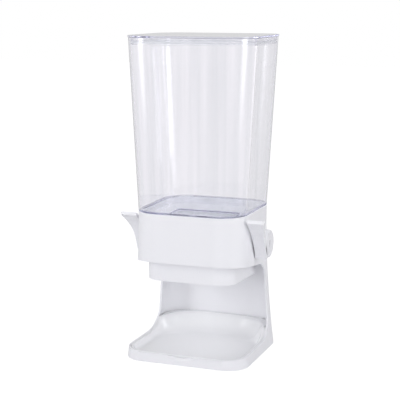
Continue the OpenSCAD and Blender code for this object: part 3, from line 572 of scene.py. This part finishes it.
def makeTray():
    t = tray
    bm = bmesh.new()
    insets = [0, 0.4, 1.0, 1.8, 2.4, 3.1, 3.9, 4.8, 5.8, 6.9, 8.1, 9.5, 11, 12.6, 14.4, 16.4, 18.6,
        21, 23.6, 26.5, 30, 34.5]
    rings = []
    for inset in insets:
        # the outer edge fills the column's corners, while the crest cuts across them
        onRoll = min(1.0, inset / t["rollWide"])
        backRadius = t["cornerRadius"] + (t["crestRadius"] - t["cornerRadius"]) * onRoll
        face = roundedFace(bm, 0, t["half"] - inset, t["front"] - inset, t["back"] - inset,
            max(1.0, t["radius"] - inset), backRadius - max(0.0, inset - t["rollWide"]) * 0.4,
            steps=24)
        # the four long sides are cut up, so that they can bend with the rim
        for side in sorted(face.edges, key=lambda edge: edge.calc_length())[-4:]:
            near, far = side.verts
            for left in range(t["sideCuts"], 0, -1):
                _, near = bmesh.utils.edge_split(side, near, 1 / (left + 1))
                side = next(edge for edge in near.link_edges if far in edge.verts)
        rings.append((inset, list(face.verts)))
        if inset != insets[-1]:
            bmesh.ops.delete(bm, geom=[face], context="FACES_ONLY")
    for inset, verts in rings:
        outer = max(0.0, 1 - inset / t["rollWide"])
        for v in verts:
            x, y = v.co.x / mm, v.co.y / mm
            lip = t["lipZ"] - t["lipDrop"] * (x / t["half"]) ** 2
            rim = min(lip, max(t["rimZ"], lowerCurve(y)))
            drop = rim - t["floorZ"]
            wide = t["slopeWide"] + t["slopeGrow"] * drop
            # a flange laps over the step at the sides, and the raised wall behind it is narrower
            lap = (min(1.0, max(0.0, (y - t["flangeFrom"]) / 10))
                * min(1.0, max(0.0, (t["flangeTo"] - y) / 6)))
            narrow = (min(1.0, max(0.0, (y - t["raisedFrom"]) / 6))
                * (t["half"] - t["raisedHalf"]) * abs(x) / t["half"])
            roll = t["rollDrop"] if y < t["raisedFrom"] else t["backRoll"]
            v.co.z = (rim - roll * outer ** 2 * (1 - lap)
                - drop * dishSlope((inset - t["rollWide"]) / (wide - t["rollWide"]))) * mm
            v.co.x += (t["flange"] * lap * outer - narrow) * mm * (1 if x > 0 else -1)
    for (_, low), (_, high) in zip(rings, rings[1:]):
        joinRings(bm, low, high)
    bmesh.ops.recalc_face_normals(bm, faces=bm.faces)
    if sum(f.normal.z for f in bm.faces) < 0:
        bmesh.ops.reverse_faces(bm, faces=bm.faces)
    piece = toObject("trayDish", bm)
    shell = piece.modifiers.new("thickness", "SOLIDIFY")
    shell.thickness = t["thick"] * mm
    shell.offset = -1
    keepModifiers(piece)
    return finishPiece(piece, trayPolypropylene, "tray", ["catch_tray"],
        edge=t["edge"], sharpAngle=60)


makeTray()

# A lever: a round hub with a curved, flared wing, keyed and pinned to the axle
lever = {"hubRadius": 17.5, "hubX": 72.3, "hubEnd": 87.2, "hubEdge": 1.8, "wingRadius": 92.5,
    "wingThick": 4.5, "wingHigh": 37.5, "flare": 7.8, "flarePower": 1.4, "plain": 7, "tilt": 23,
    "below": 7, "tipRound": 3.2, "bore": 4.52, "slotHigh": 9.0, "slotWide": 1.8,
    "tongueStart": 83.0, "edge": 1.1}


def makeLever(name, side, replaced):
    v = lever
    hubCentre = axle["y"], axle["z"]
    reach = v["wingRadius"] + v["hubRadius"]
    tilt = radians(v["tilt"])
    curveY, curveZ = axle["y"] - reach * cos(tilt), axle["z"] - reach * sin(tilt)
    outerRadius = v["wingRadius"] + v["wingThick"]
    first = tilt - radians(v["below"])
    last = asin((axle["z"] + v["wingHigh"] - curveZ) / outerRadius)
    # the wing is one edge across its thickness, spun up round the centre of its curve
    bm = bmesh.new()
    start = [bm.verts.new((x * mm, (curveY + r * cos(first)) * mm, (curveZ + r * sin(first)) * mm))
        for x, r in ((v["hubX"], v["wingRadius"]), (v["hubEnd"], v["wingRadius"]),
            (v["hubEnd"], outerRadius), (v["hubX"], outerRadius))]
    bottom = bm.faces.new(start)
    turned = bmesh.ops.spin(bm, geom=[bottom], cent=(0, curveY * mm, curveZ * mm),
        axis=(1, 0, 0), dvec=(0, 0, 0), angle=last - first, steps=28, use_duplicate=False)
    # the outer side is plain beside the hub, then flares out toward the tip
    outer = (v["hubX"] + 1) * mm
    for corner in bm.verts:
        if corner.co.x > outer:
            up = (corner.co.z / mm - axle["z"] - v["plain"]) / (v["wingHigh"] - v["plain"])
            flared = v["flare"] * min(1.0, max(0.0, up)) ** v["flarePower"]
            corner.co.x = (v["hubEnd"] + flared) * mm
    tip = next(e for e in turned["geom_last"] if isinstance(e, bmesh.types.BMEdge)
        and min(corner.co.x for corner in e.verts) > outer)
    bmesh.ops.bevel(bm, geom=[tip], offset=v["tipRound"] * mm, segments=8, profile=0.5,
        affect="EDGES", material=-1)
    bmesh.ops.recalc_face_normals(bm, faces=bm.faces)
    wing = toObject(name, bm)
    rounding = wing.modifiers.new("edges", "BEVEL")
    rounding.width = v["edge"] * mm
    rounding.segments = 3
    rounding.limit_method = "ANGLE"
    rounding.angle_limit = radians(40)
    keepModifiers(wing)
    hub = bar("X", v["hubRadius"], v["hubX"], v["hubEnd"], hubCentre, steps=128)
    rims = [e for e in hub.edges if e.is_manifold and e.calc_face_angle() > 1]
    bmesh.ops.bevel(hub, geom=rims, offset=v["hubEdge"] * mm, segments=5, profile=0.5,
        affect="EDGES", material=-1)
    # a blind bore takes the axle, and a slot through the hub's face its keyed tongue
    slotY, slotZ = v["slotWide"] / 2, v["slotHigh"] / 2
    shapeBy(wing, [("UNION", hub),
        ("DIFFERENCE", bar("X", v["bore"], v["hubX"] - 1, v["tongueStart"] + 0.2, hubCentre)),
        ("DIFFERENCE", block((v["tongueStart"] - 0.5, axle["y"] - slotY, axle["z"] - slotZ),
            (v["hubEnd"] + 1, axle["y"] + slotY, axle["z"] + slotZ)))])
    if side < 0:
        bm = bmesh.new()
        bm.from_mesh(wing.data)
        bmesh.ops.scale(bm, vec=(-1, 1, 1), verts=bm.verts)
        bmesh.ops.reverse_faces(bm, faces=bm.faces)
        bm.to_mesh(wing.data)
        bm.free()
    return finishPiece(wing, leverAbs, "dispenser", [replaced])


makeLever("leverRight", 1, "right_lever")
makeLever("leverLeft", -1, "left_lever")

# Parts that keep their CAD shape get their finish here
finishes = {"feet": footRubber, "gate_housing": mattPolypropylene, "housing_screws": groundSteel,
    "left_bush": waxyAcetal, "right_bush": waxyAcetal, "left_spring": springSteel,
    # the axle's near-black steel is painted shade for the levers' slots
    "right_spring": springSteel, "spout_seal": milkySilicone, "axle": slotShadeSteel,
    "gate": mattPolypropylene, "agitator": milkySilicone, "cross_pins": groundSteel,
    "spring_collars": waxyAcetal, "axle_clips": springSteel, "lid_seal": milkySilicone}
for name, material in finishes.items():
    cadNodes[name].data.materials.clear()
    cadNodes[name].data.materials.append(material)
print("CAD nodes finished:", len(finishes))

# The studio: a pale floor, a white room, two softboxes that draw the streaks on the canister, a
# thin strip behind that is seen only through it, and three fill cards that nothing mirrors: one
# low in front, one over the tray and one over the neck. Sizes here are in metres
studio = {"floorSize": 12.0, "ambient": 0.45, "ambientColour": "#fbfbff", "mirroredRoom": 0.7,
    "mirroredFloor": 0.5, "paperColour": "#f1f1f3", "seenPaperColour": "#8c8c8e", "seenGlow": 0.93}
lamps = {
    "leftStrip": {"place": (-1.05, -0.98, 0.72), "target": (0, 0, 0.72), "width": 0.95,
        "height": 1.4, "watts": 21.5, "softSides": 0.5, "softEnds": 0.35, "mirrored": True,
        "seenThrough": True},
    "rightStrip": {"place": (1.3, -0.28, 0.66), "target": (0, 0, 0.66), "width": 0.85,
        "height": 1.4, "watts": 22, "softSides": 0.5, "softEnds": 0.35, "mirrored": True,
        "seenThrough": True},
    "lowFill": {"place": (0.1, -1.8, 0.3), "target": (0, 0, 0.3), "width": 1.4, "height": 0.5,
        "watts": 7.0, "softSides": 0.15, "softEnds": 0.15, "mirrored": False,
        "seenThrough": False},
    "trayFill": {"place": (0, -0.02, 0.094), "target": (0, -0.02, 0), "width": 0.1,
        "height": 0.06, "watts": 0.02, "softSides": 0.15, "softEnds": 0.15, "mirrored": False,
        "seenThrough": False},
    "neckFill": {"place": (0, 0, 0.31), "target": (0, 0, 0.1), "width": 0.1, "height": 0.1,
        "watts": 0.19, "softSides": 0.15, "softEnds": 0.15, "mirrored": False,
        "seenThrough": False},
    "backStrip": {"place": (-0.4715, 1.0, 0.207), "target": (0.4903, -1.3131, 0.4441),
        "width": 0.013, "height": 0.29, "watts": 0.005, "softSides": 0.4, "softEnds": 0.2,
        "mirrored": False, "seenThrough": True}}


def glow(tree, strength):
    return addNode(tree, "ShaderNodeEmission",
        {"Color": (1, 1, 1, 1), "Strength": strength}).outputs["Emission"]


# White paper. The camera sees it glow under a faint paper that still takes the object's shadow,
# gloss mirrors it dimmer, and through the canister it is as white as the room behind it
def makeFloor():
    bm = bmesh.new()
    bmesh.ops.create_grid(bm, x_segments=4, y_segments=4, size=studio["floorSize"] / 2)
    floor = toObject("floor", bm)
    material, tree = newMaterial("whiteSweepPaper")
    path = addNode(tree, "ShaderNodeLightPath")
    paper = addNode(tree, "ShaderNodeBsdfDiffuse", {"Color": linear(studio["paperColour"])})
    gloss = addNode(tree, "ShaderNodeMixShader", {0: path.outputs["Is Glossy Ray"],
        1: paper.outputs["BSDF"], 2: glow(tree, studio["mirroredFloor"])})
    through = addNode(tree, "ShaderNodeMixShader", {0: path.outputs["Is Transmission Ray"],
        1: gloss.outputs["Shader"], 2: glow(tree, 1.0)})
    faint = addNode(tree, "ShaderNodeBsdfDiffuse", {"Color": linear(studio["seenPaperColour"])})
    lit = addNode(tree, "ShaderNodeAddShader", {0: faint.outputs["BSDF"],
        1: glow(tree, studio["seenGlow"])})
    either = addNode(tree, "ShaderNodeMixShader", {0: path.outputs["Is Camera Ray"],
        1: through.outputs["Shader"], 2: lit.outputs["Shader"]})
    addNode(tree, "ShaderNodeOutputMaterial", {"Surface": either.outputs["Shader"]})
    floor.data.materials.append(material)


# White to the camera and through the canister, and a little dimmer where gloss mirrors it
def makeRoom():
    world = bpy.data.worlds.new("whiteRoom")
    scene.world = world
    world.use_nodes = True
    tree = world.node_tree
    tree.nodes.clear()
    path = addNode(tree, "ShaderNodeLightPath")
    seen = addNode(tree, "ShaderNodeMath", {0: path.outputs["Is Camera Ray"],
        1: path.outputs["Is Transmission Ray"]}, operation="MAXIMUM")
    room, mirrored, white = [addNode(tree, "ShaderNodeBackground",
        {"Color": colour, "Strength": strength}).outputs["Background"]
        for colour, strength in ((linear(studio["ambientColour"]), studio["ambient"]),
            ((1, 1, 1, 1), studio["mirroredRoom"]), ((1, 1, 1, 1), 1.0))]
    gloss = addNode(tree, "ShaderNodeMixShader",
        {0: path.outputs["Is Glossy Ray"], 1: room, 2: mirrored})
    either = addNode(tree, "ShaderNodeMixShader",
        {0: seen.outputs[0], 1: gloss.outputs["Shader"], 2: white})
    addNode(tree, "ShaderNodeOutputWorld", {"Surface": either.outputs["Shader"]})


# A softbox is brightest in the middle: its cloth dims over a share of its width at each edge
def makeLamp(name, settings):
    data = bpy.data.lights.new(name, "AREA")
    data.shape = "RECTANGLE"
    data.size = settings["width"]
    data.size_y = settings["height"]
    data.energy = settings["watts"]
    data.use_nodes = True
    tree = data.node_tree
    tree.nodes.clear()
    across = addNode(tree, "ShaderNodeSeparateXYZ",
        {"Vector": addNode(tree, "ShaderNodeNewGeometry").outputs["Parametric"]})
    dims = []
    for axis, soft in (("X", settings["softSides"]), ("Y", settings["softEnds"])):
        centred = addNode(tree, "ShaderNodeMath", {0: across.outputs[axis], 1: 0.5},
            operation="SUBTRACT")
        distance = addNode(tree, "ShaderNodeMath", {0: centred.outputs[0]}, operation="ABSOLUTE")
        dims.append(addNode(tree, "ShaderNodeMapRange", {"Value": distance.outputs[0],
            "From Min": 0.5, "From Max": 0.5 - soft, "To Min": 0.0, "To Max": 1.0},
            interpolation_type="SMOOTHSTEP").outputs["Result"])
    both = addNode(tree, "ShaderNodeMath", {0: dims[0], 1: dims[1]}, operation="MULTIPLY")
    cloth = addNode(tree, "ShaderNodeEmission", {"Strength": both.outputs[0]})
    addNode(tree, "ShaderNodeOutputLight", {"Surface": cloth.outputs["Emission"]})
    lamp = bpy.data.objects.new(name, data)
    scene.collection.objects.link(lamp)
    aimAt(lamp, settings)
    lamp.visible_camera = False
    lamp.visible_glossy = settings["mirrored"]
    lamp.visible_transmission = settings["seenThrough"]


# Stands a lamp or the camera in its place and turns it toward its target
def aimAt(thing, settings):
    thing.location = settings["place"]
    aim = Vector(settings["target"]) - Vector(settings["place"])
    thing.rotation_euler = aim.to_track_quat("-Z", "Y").to_euler()


makeFloor()
makeRoom()
for name, settings in lamps.items():
    makeLamp(name, settings)
print("studio lit:", len(lamps), "lamps")

view = {"place": (0.4903, -1.3131, 0.4441), "target": (-0.00563, 0.0055, 0.19283),
    "lens": 101.889, "sensor": 36}
cameraData = bpy.data.cameras.new("camera")
cameraData.lens = view["lens"]
cameraData.sensor_width = view["sensor"]
camera = bpy.data.objects.new("camera", cameraData)
scene.collection.objects.link(camera)
aimAt(camera, view)
scene.camera = camera
scene.view_settings.view_transform = "Standard"

print("scene ready")
